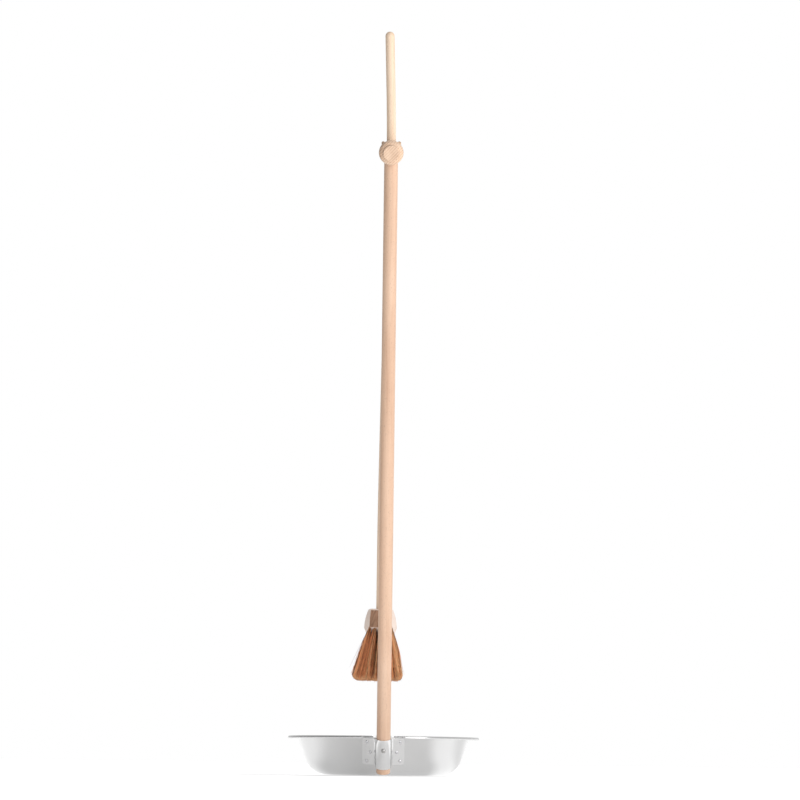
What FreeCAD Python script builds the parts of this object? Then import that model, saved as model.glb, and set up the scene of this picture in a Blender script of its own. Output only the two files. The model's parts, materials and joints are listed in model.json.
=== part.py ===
"""Dust pan on a long beech stick, with a long-handled brush hanging in a clip behind the stick's top.

Frame: millimetres, +Z up, origin at the centre of the pan's round base, on the floor.
The pan's mouth faces +Y, the stick stands behind its back wall and leans towards -Y.
"Stick frame": x across, n from the pan stick towards the brush stick, s up along the pan stick.
"""
import FreeCAD, Part
import math
import os

Vector = FreeCAD.Vector

# Pan, a spun round dish cut off by a straight mouth
SHEET = 1.0
BASE_RADIUS = 96.7
CORNER_RADIUS = 38.0
WALL_SLOPE = 20.5
WALL_TOP_HEIGHT = 62.0
RIM_BEND_RADIUS = 3.0
RIM_RADIUS = 163.0
LIP_RADIUS = 2.5
LIP_DEPTH = 4.6
MOUTH_Y = 42.0
NOTCH_HALF_WIDTH = 35.5
NOTCH_BOTTOM = 50.0
NOTCH_STUB = 4.5
TUBE_NOTCH_HALF_WIDTH = 17.2

# Pan stick, parallel to the back wall
STICK_RADIUS_LOW = 11.5
STICK_RADIUS_TOP = 10.75
STICK_WALL_GAP = 0.2
STICK_FOOT = 5.0
STICK_PARALLEL_TOP = 75.0
STICK_TOP = 1044.0
STICK_FOOT_ROUND = 1.5
STICK_TOP_ROUND = 3.0

# Socket bracket, a pressed hat section
BRACKET_SHEET = 1.3
TUBE_CLEARANCE = 0.1
TUBE_BOTTOM = 14.5
TUBE_TOP = 65.0
PLATE_TOP = 60.3
PLATE_HALF_WIDTH = 34.8
PLATE_CORNER = 4.0
SHOULDER_HALF_WIDTH = 16.6
RIVET_PLACES = ((27.5, 55.0), (21.7, 36.8), (27.5, 21.6))
RIVET_HEAD_RADIUS = 2.6
RIVET_HEAD_HEIGHT = 1.1
RIVET_SHANK_RADIUS = 1.5
SCREW_S = 47.5
SCREW_HEAD_RADIUS = 4.0
SCREW_HEAD_HEIGHT = 2.6
SCREW_RADIUS = 1.9
SCREW_LENGTH = 17.0
SCREW_SLOT_WIDTH = 1.0
SCREW_SLOT_DEPTH = 1.2

# Holder: knob, spindle and clip, which turn together in the stick's cross bore
SPINDLE_S = 1032.0
SPINDLE_RADIUS = 5.0
SPINDLE_CLEARANCE = 0.08
GLUE_GAP = 0.03
WASHER_RADIUS = 9.0
WASHER_GAP = 0.3
WASHER_THICKNESS = 1.0
KNOB_LENGTH = 26.0
KNOB_RADIUS = 19.4
KNOB_FACE_RADIUS = 12.0
KNOB_BOSS_RADIUS = 13.6
KNOB_BOSS_HEIGHT = 5.0
KNOB_BACK_RADIUS = 12.5
KNOB_BORE_DEPTH = 17.0
KNOB_PIN_RADIUS = 1.2
STICK_SPACING = 48.0
CLIP_RADIUS = 15.5
CLIP_HEIGHT = 20.0
CLIP_NECK_RADIUS = 9.0
CLIP_BORE_RADIUS = 7.55
CLIP_SEAT_RADIUS = 11.5
CLIP_SEAT_DEPTH = 4.0
CLIP_ROUND = 2.0

# Brush stick, slightly bowed sideways: (x, s) of its route's corners
BRUSH_STICK_RADIUS = 7.2
BRUSH_STICK_ROUTE = ((-7.7, 246.0), (-7.4, 430.0), (0.75, 1050.0), (-4.2, 1206.5))
BOW_TANGENT = 75.0
HANGING_PIN_RADIUS = 1.5
HANGING_PIN_LENGTH = 20.0
HANGING_PIN_LIFT = 0.3

# Brush head, level above the pan and slightly tilted sideways
HEAD_X = -7.5
HEAD_TILT = 0.5
BLOCK_NEAR_Y = -200.0
BLOCK_LENGTH = 150.0
BLOCK_BOTTOM = 234.0
BLOCK_HEIGHT = 37.0
BLOCK_WIDTH = 54.5
BLOCK_END_WIDTH = 35.5
BLOCK_TOP_WIDTH = 41.0
BLOCK_BOTTOM_WIDTH = 47.0
BLOCK_CHAMFER = 9.0
BLOCK_END_CHAMFER = 3.2
BLOCK_END_RISE = 6.5
BLOCK_END_RUN = 14.0
BLOCK_SCREW_RADIUS = 1.8
BLOCK_SCREW_HEAD_RADIUS = 3.6
BLOCK_SCREW_LENGTH = 24.0

# Tufts: rows side by side, each a line of bundles in drilled holes
ROW_ROOTS = (-18.0, -9.0, 0.0, 9.0, 18.0)
ROW_TIP_FACTOR = 2.0
ROW_END_PULL = 0.12
TUFTS_PER_ROW = 13
TUFT_FIRST_Y = 10.0
TUFT_LEAN_X = -3.6
TUFT_LEAN_Y = 14.0
TUFT_TIP_HEIGHT = 158.5
TUFT_OUTER_LIFT = 6.0
TUFT_ROOT_RADIUS = 2.4
TUFT_TIP_RADIUS = 4.9
TUFT_HOLE_RADIUS = 2.9
TUFT_HOLE_DEPTH = 9.0
TUFT_HOLE_LEAD = 7.0
STAPLE_RADIUS = 0.4
STAPLE_LENGTH = 4.0

slope = math.radians(WALL_SLOPE)
wall_foot_radius = BASE_RADIUS + CORNER_RADIUS * math.cos(slope)
wall_foot_height = CORNER_RADIUS * (1.0 - math.sin(slope))
wall_top_radius = wall_foot_radius + (WALL_TOP_HEIGHT - wall_foot_height) * math.tan(slope)
stick_offset = (STICK_RADIUS_LOW + STICK_WALL_GAP) / math.cos(slope)
stick_floor_y = -(wall_foot_radius - wall_foot_height * math.tan(slope) + stick_offset)
tube_radius = STICK_RADIUS_LOW + TUBE_CLEARANCE
clip_centre_s = SPINDLE_S - 0.5
head_pivot = Vector(HEAD_X, 0, BLOCK_BOTTOM + BLOCK_HEIGHT / 2)

X_AXIS = Vector(1, 0, 0)
Y_AXIS = Vector(0, 1, 0)
Z_AXIS = Vector(0, 0, 1)
STICK_PLACEMENT = FreeCAD.Placement(
    Vector(0, stick_floor_y, 0), FreeCAD.Rotation(X_AXIS, WALL_SLOPE))


def from_stick_frame(shape):
    """Moves a shape built with the pan stick upright on the Z axis to its leaning place."""
    placed = shape.copy()
    placed.Placement = STICK_PLACEMENT.multiply(placed.Placement)
    return placed


def to_head(shape):
    """Tilts a shape of the level brush head sideways about the block's centre."""
    tilted = shape.copy()
    tilted.rotate(head_pivot, Y_AXIS, HEAD_TILT)
    return tilted


def save(shape, name):
    """Writes one sub-part, after checking that all of its solids are closed and valid."""
    solids = shape.Solids
    for solid in solids:
        if not solid.isValid() or solid.Volume <= 0:
            raise ValueError(name + " has a bad solid")
    result = solids[0] if len(solids) == 1 else Part.makeCompound(solids)
    result.exportStep("parts/" + name + ".step")
    print(name, len(solids), round(sum(solid.Volume for solid in solids), 1))


def revolve_profile(edges, axis=Z_AXIS):
    """Turns a closed outline in the XZ plane once round an axis through the origin."""
    face = Part.Face(Part.Wire(edges))
    return face.revolve(Vector(0, 0, 0), axis, 360)


def arc(start, middle, end):
    return Part.Arc(start, middle, end).toShape()


def line(start, end):
    return Part.LineSegment(start, end).toShape()


def fused(shapes):
    return shapes[0].multiFuse(shapes[1:]).removeSplitter()


# ---------------------------------------------------------------- pan

def wall_profile_points(offset):
    """Corner, wall and rim bend points of the sheet's outside, moved inwards by offset."""
    corner = CORNER_RADIUS - offset
    bend = RIM_BEND_RADIUS + offset
    across = math.cos(slope)
    along = math.sin(slope)
    half_corner = math.radians(90 - WALL_SLOPE) / 2
    base = Vector(BASE_RADIUS, 0, offset)
    corner_mid = Vector(BASE_RADIUS + corner * math.sin(half_corner), 0,
                        CORNER_RADIUS - corner * math.cos(half_corner))
    corner_end = Vector(BASE_RADIUS + corner * across, 0, CORNER_RADIUS - corner * along)
    bend_centre = Vector(wall_top_radius + RIM_BEND_RADIUS * across, 0,
                         WALL_TOP_HEIGHT - RIM_BEND_RADIUS * along)
    bend_start = bend_centre + Vector(-bend * across, 0, bend * along)
    bend_mid = bend_centre + Vector(-bend * math.sin(half_corner), 0, bend * math.cos(half_corner))
    bend_end = bend_centre + Vector(0, 0, bend)
    return base, corner_mid, corner_end, bend_start, bend_mid, bend_end


def pan_shell():
    """Spun sheet dish with a flat flange and a turned-down lip, cut off straight at the mouth.

    The lip is cut away over the bracket's plate, and the flange too where the stick passes.
    """
    outer = wall_profile_points(0.0)
    inner = wall_profile_points(SHEET)
    top = inner[5].z
    under = outer[5].z
    lip_centre_x = RIM_RADIUS - LIP_RADIUS
    lip_centre_z = top - LIP_RADIUS
    lip_bottom = top - LIP_DEPTH
    small = LIP_RADIUS - SHEET
    diagonal = math.sqrt(0.5)
    edges = [
        line(Vector(0, 0, 0), outer[0]),
        arc(outer[0], outer[1], outer[2]),
        line(outer[2], outer[3]),
        arc(outer[3], outer[4], outer[5]),
        line(outer[5], Vector(lip_centre_x, 0, under)),
        arc(Vector(lip_centre_x, 0, under),
            Vector(lip_centre_x + small * diagonal, 0, lip_centre_z + small * diagonal),
            Vector(RIM_RADIUS - SHEET, 0, lip_centre_z)),
        line(Vector(RIM_RADIUS - SHEET, 0, lip_centre_z), Vector(RIM_RADIUS - SHEET, 0, lip_bottom)),
        line(Vector(RIM_RADIUS - SHEET, 0, lip_bottom), Vector(RIM_RADIUS, 0, lip_bottom)),
        line(Vector(RIM_RADIUS, 0, lip_bottom), Vector(RIM_RADIUS, 0, lip_centre_z)),
        arc(Vector(RIM_RADIUS, 0, lip_centre_z),
            Vector(lip_centre_x + LIP_RADIUS * diagonal, 0, lip_centre_z + LIP_RADIUS * diagonal),
            Vector(lip_centre_x, 0, top)),
        line(Vector(lip_centre_x, 0, top), inner[5]),
        arc(inner[5], inner[4], inner[3]),
        line(inner[3], inner[2]),
        arc(inner[2], inner[1], inner[0]),
        line(inner[0], Vector(0, 0, SHEET)),
        line(Vector(0, 0, SHEET), Vector(0, 0, 0)),
    ]
    dish = revolve_profile(edges)
    reach = 2 * RIM_RADIUS
    mouth = Part.makeBox(2 * reach, reach, reach, Vector(-reach, MOUTH_Y, -1))
    height = Vector(0, 0, NOTCH_BOTTOM)
    stub = Part.makeCylinder(wall_top_radius + NOTCH_STUB, reach, height)
    shell = dish.cut(mouth)
    for half_width, kept in ((NOTCH_HALF_WIDTH, stub),
                             (TUBE_NOTCH_HALF_WIDTH, cone_body(0.0, NOTCH_BOTTOM, NOTCH_BOTTOM + reach))):
        notch = Part.makeBox(2 * half_width, reach, reach, height - Vector(half_width, reach, 0))
        shell = shell.cut(notch.cut(kept))
    for side, place_s in rivet_sites():
        shell = shell.cut(rivet_hole(side, place_s))
    return shell


def cone_body(offset, low, high):
    """Solid cone that continues the back wall's outer face, grown outwards by offset."""
    grow = offset / math.cos(slope)
    foot = wall_foot_radius - wall_foot_height * math.tan(slope) + grow
    return Part.makeCone(foot + low * math.tan(slope), foot + high * math.tan(slope),
                         high - low, Vector(0, 0, low))


def rivet_sites():
    for side in (-1, 1):
        for half_width, place_s in RIVET_PLACES:
            yield side * half_width, place_s


def wall_point(x, place_s):
    """Point and outward normal of the wall's outer face at x, at a height given along the stick."""
    height = place_s * math.cos(slope) + STICK_RADIUS_LOW * math.sin(slope)
    radius = wall_foot_radius + (height - wall_foot_height) * math.tan(slope)
    y = -math.sqrt(radius * radius - x * x)
    normal = Vector(x / radius * math.cos(slope), y / radius * math.cos(slope), -math.sin(slope))
    return Vector(x, y, height), normal


def rivet_hole(x, place_s):
    point, normal = wall_point(x, place_s)
    depth = 4 * SHEET
    return Part.makeCylinder(RIVET_SHANK_RADIUS, 2 * depth, point - normal * depth, normal)


# ---------------------------------------------------------------- bracket

def hat_outline(radius, top_n):
    """Half round towards -n with straight legs up to top_n, as a face across the stick."""
    edges = [
        arc(Vector(-radius, 0, 0), Vector(0, -radius, 0), Vector(radius, 0, 0)),
        line(Vector(radius, 0, 0), Vector(radius, top_n, 0)),
        line(Vector(radius, top_n, 0), Vector(-radius, top_n, 0)),
        line(Vector(-radius, top_n, 0), Vector(-radius, 0, 0)),
    ]
    return Part.Face(Part.Wire(edges))


def shoulder(side, base_n):
    """Fillet-like foot between the half tube's leg and the plate."""
    inside = tube_radius + BRACKET_SHEET / 2
    outside = SHOULDER_HALF_WIDTH
    rise = outside - inside
    corner = Vector(side * inside, base_n, TUBE_BOTTOM)
    foot = Vector(side * outside, base_n, TUBE_BOTTOM)
    head = Vector(side * inside, base_n - 2 * rise, TUBE_BOTTOM)
    curve = Vector(side * (inside + 0.35 * rise), base_n - 0.7 * rise, TUBE_BOTTOM)
    edges = [arc(head, curve, foot), line(foot, corner), line(corner, head)]
    return Part.Face(Part.Wire(edges)).extrude(Vector(0, 0, PLATE_TOP - TUBE_BOTTOM))


def socket_bracket():
    """Half tube over the stick's foot with two flanges that follow the round back wall."""
    reach = 3 * STICK_RADIUS_LOW
    height = TUBE_TOP - TUBE_BOTTOM
    outer = hat_outline(tube_radius + BRACKET_SHEET, reach).extrude(Vector(0, 0, height))
    inner = hat_outline(tube_radius, reach).extrude(Vector(0, 0, height))
    hat = outer.cut(inner)
    hat.translate(Vector(0, 0, TUBE_BOTTOM))
    hat = from_stick_frame(hat)
    plate_n = STICK_RADIUS_LOW + STICK_WALL_GAP
    blank = Part.makeBox(2 * PLATE_HALF_WIDTH, 4 * reach, PLATE_TOP - TUBE_BOTTOM,
                         Vector(-PLATE_HALF_WIDTH, -2 * reach, TUBE_BOTTOM))
    corners = [edge for edge in blank.Edges
               if abs(edge.Vertexes[0].X - edge.Vertexes[1].X) < 1e-6
               and abs(edge.Vertexes[0].Z - edge.Vertexes[1].Z) < 1e-6]
    blank = from_stick_frame(blank.makeFillet(PLATE_CORNER, corners))
    high = 2 * PLATE_TOP
    jacket = cone_body(BRACKET_SHEET, -TUBE_BOTTOM, high).cut(cone_body(0.0, -TUBE_BOTTOM, high))
    plate = jacket.common(blank)
    channel = hat_outline(tube_radius, 2 * reach).extrude(Vector(0, 0, 4 * high))
    channel.translate(Vector(0, 0, -high))
    plate = plate.cut(from_stick_frame(channel))
    feet = [from_stick_frame(shoulder(side, plate_n)) for side in (-1, 1)]
    bracket = fused([hat, plate] + feet)
    bracket = bracket.cut(cone_body(0.02, -TUBE_BOTTOM, high))
    screw_bore = Part.makeCylinder(SCREW_RADIUS, reach, Vector(0, 0, SCREW_S), Vector(0, -1, 0))
    bracket = bracket.cut(from_stick_frame(screw_bore))
    for x, place_s in rivet_sites():
        bracket = bracket.cut(rivet_hole(x, place_s))
    solids = sorted(bracket.Solids, key=lambda solid: solid.Volume)
    return solids[-1]


def headed_pin(head_radius, head_height, shank_radius, shank_length, tail):
    """Upright pin turned about Z: a low round head above z = 0, a shank below, and a tail.

    The tail is a list of (radius, z) corners that the outline follows below the shank.
    """
    ball_radius = (head_radius ** 2 + head_height ** 2) / (2 * head_height)
    half_spread = math.asin(head_radius / ball_radius) / 2
    flank = Vector(ball_radius * math.sin(half_spread), 0,
                   head_height - ball_radius * (1 - math.cos(half_spread)))
    crown = Vector(0, 0, head_height)
    seat = Vector(head_radius, 0, 0)
    corners = [seat, Vector(shank_radius, 0, 0), Vector(shank_radius, 0, -shank_length)]
    corners += [Vector(radius, 0, z) for radius, z in tail]
    edges = [arc(crown, flank, seat)]
    edges += [line(start, end) for start, end in zip(corners, corners[1:])]
    edges.append(line(corners[-1], crown))
    return revolve_profile(edges)


def aimed(shape, base, direction):
    """Turns an upright shape so that +Z points along direction, and stands it on base."""
    placed = shape.copy()
    placed.Placement = FreeCAD.Placement(base, FreeCAD.Rotation(Z_AXIS, direction))
    return placed


def bracket_rivets():
    """Six dome rivets, each with a flattened head inside the pan."""
    grip = BRACKET_SHEET + SHEET + 0.3
    tail_drop = RIVET_HEAD_HEIGHT / 2
    tail = [(RIVET_HEAD_RADIUS, -grip), (RIVET_HEAD_RADIUS - 0.4, -grip - tail_drop),
            (0.0, -grip - tail_drop)]
    pin = headed_pin(RIVET_HEAD_RADIUS, RIVET_HEAD_HEIGHT, RIVET_SHANK_RADIUS - 0.05, grip, tail)
    rivets = []
    for x, place_s in rivet_sites():
        point, normal = wall_point(x, place_s)
        rivets.append(aimed(pin, point + normal * (BRACKET_SHEET + 0.15), normal))
    return Part.makeCompound(rivets)


def socket_screw():
    """Round-head wood screw through the half tube into the stick."""
    tail = [(0.0, -SCREW_LENGTH - 2 * SCREW_RADIUS)]
    screw = headed_pin(SCREW_HEAD_RADIUS, SCREW_HEAD_HEIGHT, SCREW_RADIUS - 0.1, SCREW_LENGTH, tail)
    head_base = Vector(0, -(tube_radius + BRACKET_SHEET), SCREW_S)
    screw = aimed(screw, head_base, Vector(0, -1, 0))
    slot = Part.makeBox(2 * SCREW_HEAD_RADIUS, SCREW_SLOT_DEPTH, SCREW_SLOT_WIDTH,
                        head_base + Vector(-SCREW_HEAD_RADIUS, -SCREW_HEAD_HEIGHT,
                                           -SCREW_SLOT_WIDTH / 2))
    return from_stick_frame(screw.cut(slot))


# ---------------------------------------------------------------- pan stick and holder

def pan_stick():
    """Long beech stick, parallel in the socket and then tapering slightly to its top."""
    low = STICK_RADIUS_LOW
    top = STICK_RADIUS_TOP
    foot_round = STICK_FOOT_ROUND
    top_round = STICK_TOP_ROUND
    diagonal = math.sqrt(0.5)
    edges = [
        line(Vector(0, 0, STICK_FOOT), Vector(low - foot_round, 0, STICK_FOOT)),
        arc(Vector(low - foot_round, 0, STICK_FOOT),
            Vector(low - foot_round + foot_round * diagonal, 0,
                   STICK_FOOT + foot_round - foot_round * diagonal),
            Vector(low, 0, STICK_FOOT + foot_round)),
        line(Vector(low, 0, STICK_FOOT + foot_round), Vector(low, 0, STICK_PARALLEL_TOP)),
        line(Vector(low, 0, STICK_PARALLEL_TOP), Vector(top, 0, STICK_TOP - top_round)),
        arc(Vector(top, 0, STICK_TOP - top_round),
            Vector(top - top_round + top_round * diagonal, 0,
                   STICK_TOP - top_round + top_round * diagonal),
            Vector(top - top_round, 0, STICK_TOP)),
        line(Vector(top - top_round, 0, STICK_TOP), Vector(0, 0, STICK_TOP)),
        line(Vector(0, 0, STICK_TOP), Vector(0, 0, STICK_FOOT)),
    ]
    stick = revolve_profile(edges)
    cross_bore = Part.makeCylinder(SPINDLE_RADIUS + SPINDLE_CLEARANCE, 4 * low,
                                   Vector(0, -2 * low, SPINDLE_S), Y_AXIS)
    screw_reach = SCREW_LENGTH + 2 * SCREW_RADIUS + GLUE_GAP
    screw_bore = Part.makeCylinder(SCREW_RADIUS, screw_reach,
                                   Vector(0, -tube_radius - BRACKET_SHEET, SCREW_S), Y_AXIS)
    for side in (-1, 1):
        flat = Part.makeBox(4 * low, low, 2 * WASHER_RADIUS + 2,
                            Vector(-2 * low, -low / 2, SPINDLE_S - WASHER_RADIUS - 1))
        flat.translate(Vector(0, side * (low / 2 + STICK_RADIUS_TOP - 0.6), 0))
        stick = stick.cut(flat)
    return from_stick_frame(stick.cut(cross_bore).cut(screw_bore))


flat_n = STICK_RADIUS_TOP - 0.6
washer_start = flat_n + WASHER_GAP
hub_start = washer_start + WASHER_THICKNESS


def knob():
    """Turned knob: round belly, and a raised flat face, its turning axis along -n at the spindle."""
    def at(radius, distance):
        return Vector(radius, 0, distance)
    back = hub_start
    face = hub_start + KNOB_LENGTH
    shoulder_at = face - KNOB_BOSS_HEIGHT
    edges = [
        line(at(0, back), at(KNOB_BACK_RADIUS, back)),
        arc(at(KNOB_BACK_RADIUS, back), at(KNOB_RADIUS - 1.6, back + 5.0),
            at(KNOB_RADIUS, back + 0.46 * KNOB_LENGTH)),
        arc(at(KNOB_RADIUS, back + 0.46 * KNOB_LENGTH), at(KNOB_RADIUS - 1.5, shoulder_at - 1.6),
            at(KNOB_BOSS_RADIUS, shoulder_at)),
        line(at(KNOB_BOSS_RADIUS, shoulder_at), at(KNOB_FACE_RADIUS, face)),
        line(at(KNOB_FACE_RADIUS, face), at(0, face)),
        line(at(0, face), at(0, back)),
    ]
    turned = revolve_profile(edges)
    turned.rotate(Vector(0, 0, 0), X_AXIS, 90)
    turned.translate(Vector(0, 0, SPINDLE_S))
    bore = Part.makeCylinder(SPINDLE_RADIUS + GLUE_GAP, back + KNOB_BORE_DEPTH,
                             Vector(0, 0, SPINDLE_S), Vector(0, -1, 0))
    return from_stick_frame(turned.cut(bore).cut(knob_pin_rod(0.0)))


def knob_pin_rod(shrink):
    """Small pin across the knob's back, through the spindle."""
    place_n = -(hub_start + 6.0)
    length = 2 * KNOB_BACK_RADIUS
    return Part.makeCylinder(KNOB_PIN_RADIUS - shrink, length,
                             Vector(0, place_n, SPINDLE_S - length / 2), Z_AXIS)


def spindle():
    """Dowel that passes through the stick and carries the knob and the clip."""
    near = -(hub_start + KNOB_BORE_DEPTH - 0.5)
    far = STICK_SPACING - CLIP_BORE_RADIUS - 3.0
    rod = Part.makeCylinder(SPINDLE_RADIUS, far - near, Vector(0, near, SPINDLE_S), Y_AXIS)
    return from_stick_frame(rod.cut(knob_pin_rod(0.0)))


def thrust_washers():
    """Two steel washers between the stick's flats and the turned parts."""
    washers = []
    for start in (-washer_start - WASHER_THICKNESS, washer_start):
        disc = Part.makeCylinder(WASHER_RADIUS, WASHER_THICKNESS, Vector(0, start, SPINDLE_S), Y_AXIS)
        hole = Part.makeCylinder(SPINDLE_RADIUS + 0.05, 3 * WASHER_THICKNESS,
                                 Vector(0, start - WASHER_THICKNESS, SPINDLE_S), Y_AXIS)
        washers.append(disc.cut(hole))
    return from_stick_frame(Part.makeCompound(washers))


def holder_clip():
    """Turned clip: an upright drum with a slot that opens away from the pan stick, on a neck."""
    bottom = clip_centre_s - CLIP_HEIGHT / 2
    drum = Part.makeCylinder(CLIP_RADIUS, CLIP_HEIGHT, Vector(0, STICK_SPACING, bottom))
    drum = drum.makeFillet(CLIP_ROUND, [edge for edge in drum.Edges if edge.Closed])
    neck_length = STICK_SPACING - hub_start
    neck = Part.makeCylinder(CLIP_NECK_RADIUS, neck_length, Vector(0, hub_start, SPINDLE_S), Y_AXIS)
    body = fused([drum, neck])
    reach = 2 * CLIP_HEIGHT
    bore = Part.makeCylinder(CLIP_BORE_RADIUS, reach, Vector(0, STICK_SPACING, bottom - CLIP_HEIGHT / 2))
    slot = Part.makeBox(2 * CLIP_BORE_RADIUS, reach, reach,
                        Vector(-CLIP_BORE_RADIUS, STICK_SPACING, bottom - CLIP_HEIGHT / 2))
    seat_floor = bottom + CLIP_HEIGHT - CLIP_SEAT_DEPTH
    seat = Part.makeCylinder(CLIP_SEAT_RADIUS, reach, Vector(0, STICK_SPACING, seat_floor))
    seat_way = Part.makeBox(2 * CLIP_SEAT_RADIUS, reach, reach,
                            Vector(-CLIP_SEAT_RADIUS, STICK_SPACING, seat_floor))
    spindle_bore = Part.makeCylinder(SPINDLE_RADIUS + GLUE_GAP, STICK_SPACING - CLIP_BORE_RADIUS - 2.5,
                                     Vector(0, 0, SPINDLE_S), Y_AXIS)
    for tool in (bore, slot, seat, seat_way, spindle_bore):
        body = body.cut(tool)
    return from_stick_frame(body)


# ---------------------------------------------------------------- brush

def bowed_rod(radius):
    """Round rod of straight runs joined by long tangent arcs, and the point at its top end."""
    points = [Vector(x, STICK_SPACING, s) for x, s in BRUSH_STICK_ROUTE]
    spans = []
    start = points[0]
    for before, corner, after in zip(points, points[1:], points[2:]):
        back = (before - corner).normalize()
        ahead = (after - corner).normalize()
        arc_start = corner + back * BOW_TANGENT
        spans.append(straight_run(radius, start, arc_start))
        half_turn = (math.pi - back.getAngle(ahead)) / 2
        bend_radius = BOW_TANGENT / math.tan(half_turn)
        inward = (back + ahead).normalize()
        bend_centre = corner + inward * (bend_radius / math.cos(half_turn))
        bend_axis = (back * -1).cross(ahead).normalize()
        ring = Part.Face(Part.Wire(Part.makeCircle(radius, arc_start, back * -1)))
        spans.append(ring.revolve(bend_centre, bend_axis, math.degrees(2 * half_turn)))
        start = corner + ahead * BOW_TANGENT
    spans.append(straight_run(radius, start, points[-1]))
    return fused(spans), points[-1], (points[-1] - start).normalize()


def straight_run(radius, start, end):
    return Part.makeCylinder(radius, (end - start).Length, start, end - start)


def brush_stick():
    """Thin bowed beech stick with a round top end."""
    rod, top, heading = bowed_rod(BRUSH_STICK_RADIUS)
    quarter = [
        line(Vector(0, 0, 0), Vector(BRUSH_STICK_RADIUS, 0, 0)),
        arc(Vector(BRUSH_STICK_RADIUS, 0, 0),
            Vector(BRUSH_STICK_RADIUS * math.sqrt(0.5), 0, BRUSH_STICK_RADIUS * math.sqrt(0.5)),
            Vector(0, 0, BRUSH_STICK_RADIUS)),
        line(Vector(0, 0, BRUSH_STICK_RADIUS), Vector(0, 0, 0)),
    ]
    stick = fused([rod, aimed(revolve_profile(quarter), top, heading)])
    return from_stick_frame(stick.cut(hanging_pin_rod(0.0)))


def hanging_pin_rod(shrink):
    floor = clip_centre_s + CLIP_HEIGHT / 2 - CLIP_SEAT_DEPTH
    height = floor + HANGING_PIN_LIFT + HANGING_PIN_RADIUS
    return Part.makeCylinder(HANGING_PIN_RADIUS - shrink, HANGING_PIN_LENGTH,
                             Vector(-HANGING_PIN_LENGTH / 2, STICK_SPACING, height), X_AXIS)


def block_blank():
    """Boat-shaped block: curved sides in plan, swelling section with a chamfered underside."""
    half = BLOCK_LENGTH / 2
    mid_y = BLOCK_NEAR_Y + half
    end = BLOCK_END_WIDTH / 2
    wide = BLOCK_WIDTH / 2
    far_y = BLOCK_NEAR_Y + BLOCK_LENGTH
    plan = [
        line(Vector(HEAD_X - end, BLOCK_NEAR_Y, 0), Vector(HEAD_X + end, BLOCK_NEAR_Y, 0)),
        arc(Vector(HEAD_X + end, BLOCK_NEAR_Y, 0), Vector(HEAD_X + wide, mid_y, 0),
            Vector(HEAD_X + end, far_y, 0)),
        line(Vector(HEAD_X + end, far_y, 0), Vector(HEAD_X - end, far_y, 0)),
        arc(Vector(HEAD_X - end, far_y, 0), Vector(HEAD_X - wide, mid_y, 0),
            Vector(HEAD_X - end, BLOCK_NEAR_Y, 0)),
    ]
    outline = Part.Face(Part.Wire(plan)).extrude(Vector(0, 0, BLOCK_HEIGHT))
    outline.translate(Vector(0, 0, BLOCK_BOTTOM))
    top = BLOCK_BOTTOM + BLOCK_HEIGHT
    knee = BLOCK_BOTTOM + BLOCK_CHAMFER
    top_half = BLOCK_TOP_WIDTH / 2
    low_half = BLOCK_BOTTOM_WIDTH / 2

    def at(x, z):
        return Vector(HEAD_X + x, BLOCK_NEAR_Y - 1, z)

    bulge = (top_half + wide) / 2 + 2.0
    section = [
        line(at(-low_half, BLOCK_BOTTOM), at(low_half, BLOCK_BOTTOM)),
        line(at(low_half, BLOCK_BOTTOM), at(wide, knee)),
        arc(at(wide, knee), at(bulge, (knee + top) / 2), at(top_half, top)),
        line(at(top_half, top), at(-top_half, top)),
        arc(at(-top_half, top), at(-bulge, (knee + top) / 2), at(-wide, knee)),
        line(at(-wide, knee), at(-low_half, BLOCK_BOTTOM)),
    ]
    swept = Part.Face(Part.Wire(section)).extrude(Vector(0, BLOCK_LENGTH + 2, 0))
    blank = outline.common(swept)
    return blank.cut(end_chamfer(BLOCK_NEAR_Y, 1)).cut(end_chamfer(far_y, -1))


def end_chamfer(end_y, inward):
    """Wedges that take the top edge and the bottom edge off one end of the block."""
    top = BLOCK_BOTTOM + BLOCK_HEIGHT
    outside = end_y - inward
    wedges = []
    for run, rise, edge_z, away in ((BLOCK_END_CHAMFER, -BLOCK_END_CHAMFER, top, 1),
                                    (BLOCK_END_RUN, BLOCK_END_RISE, BLOCK_BOTTOM, -1)):
        corners = [Vector(HEAD_X - BLOCK_WIDTH, y, z) for y, z in (
            (end_y + inward * run, edge_z + away), (end_y + inward * run, edge_z), (end_y, edge_z + rise),
            (outside, edge_z + rise), (outside, edge_z + away))]
        face = Part.Face(Part.makePolygon(corners + corners[:1]))
        wedges.append(face.extrude(Vector(2 * BLOCK_WIDTH, 0, 0)))
    return Part.makeCompound(wedges)


def tuft_line(row_x, index):
    """Root and tip of one tuft: the rows follow the block's sides, fan out and lean forwards."""
    pitch = (BLOCK_LENGTH - 2 * TUFT_FIRST_Y) / (TUFTS_PER_ROW - 1)
    root_y = BLOCK_NEAR_Y + TUFT_FIRST_Y + index * pitch
    drop = abs(row_x) / max(ROW_ROOTS)
    tip_z = TUFT_TIP_HEIGHT + TUFT_OUTER_LIFT * drop ** 3
    from_end = min(root_y - BLOCK_NEAR_Y, BLOCK_NEAR_Y + BLOCK_LENGTH - root_y)
    rise = BLOCK_END_RISE * max(0.0, 1.0 - from_end / BLOCK_END_RUN)
    middle_y = BLOCK_NEAR_Y + BLOCK_LENGTH / 2
    pull = 1.0 - ROW_END_PULL * ((root_y - middle_y) / (BLOCK_LENGTH / 2)) ** 2
    root = Vector(HEAD_X + row_x * pull, root_y, BLOCK_BOTTOM + rise)
    tip = Vector(HEAD_X + row_x * ROW_TIP_FACTOR + TUFT_LEAN_X, root_y + TUFT_LEAN_Y, tip_z)
    return root, tip


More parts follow.
